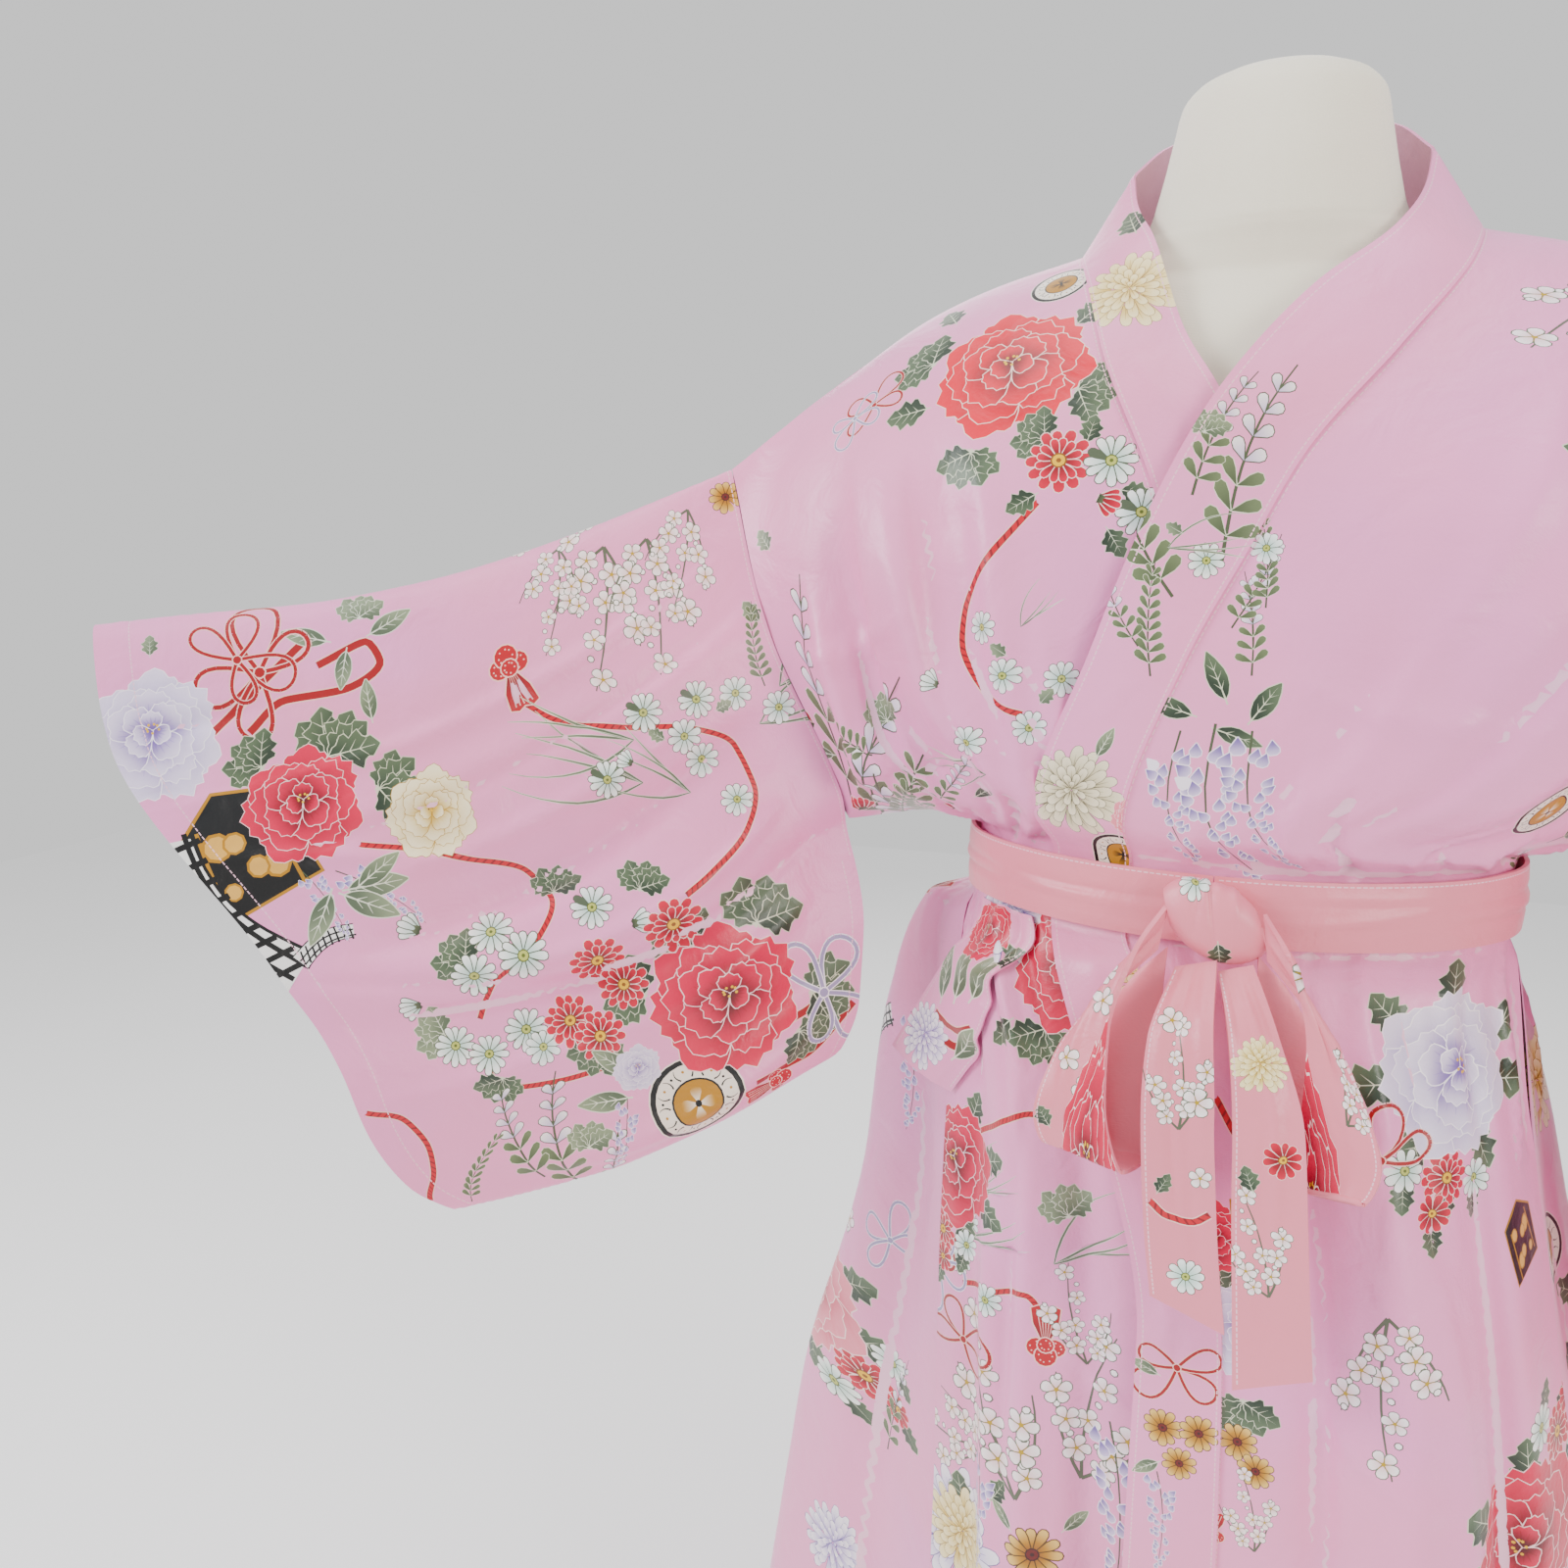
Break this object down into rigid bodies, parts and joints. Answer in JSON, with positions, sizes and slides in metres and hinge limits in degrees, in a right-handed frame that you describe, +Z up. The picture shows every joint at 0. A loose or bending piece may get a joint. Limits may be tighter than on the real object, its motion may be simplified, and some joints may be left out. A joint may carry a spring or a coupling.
{
  "type": "kimono robe on a dress form",
  "caption": "Long wrap robe with wide hanging sleeves, a neckband and a tied belt, worn on a limbless dress form with a pole and a round base.",
  "frame": {"origin": "centre of the round base's underside, on the floor", "axes": "+Z up; the garment faces -Y; the wearer's right side is at -X"},
  "size_m": [1.0673, 0.5288, 1.527],
  "materials": {
    "satin": "printed satin",
    "satin_band": "printed satin",
    "satin_belt": "printed satin",
    "form_jersey": "brushed jersey",
    "stand_steel": "satin"
  },
  "bodies": {
    "root": {"front_right": "satin", "front_left": "satin", "back": "satin", "sleeve_right": "satin", "sleeve_left": "satin", "neckband": "satin_band", "pocket_welt": "satin_band", "belt": "satin_belt", "bow_knot": "satin_belt", "bow_loop_right": "satin_belt", "bow_loop_left": "satin_belt", "tie_end_right": "satin_belt", "tie_end_left": "satin_belt", "form_torso": "form_jersey", "form_pole": "stand_steel", "form_base": "stand_steel"}
  },
  "joints": []
}
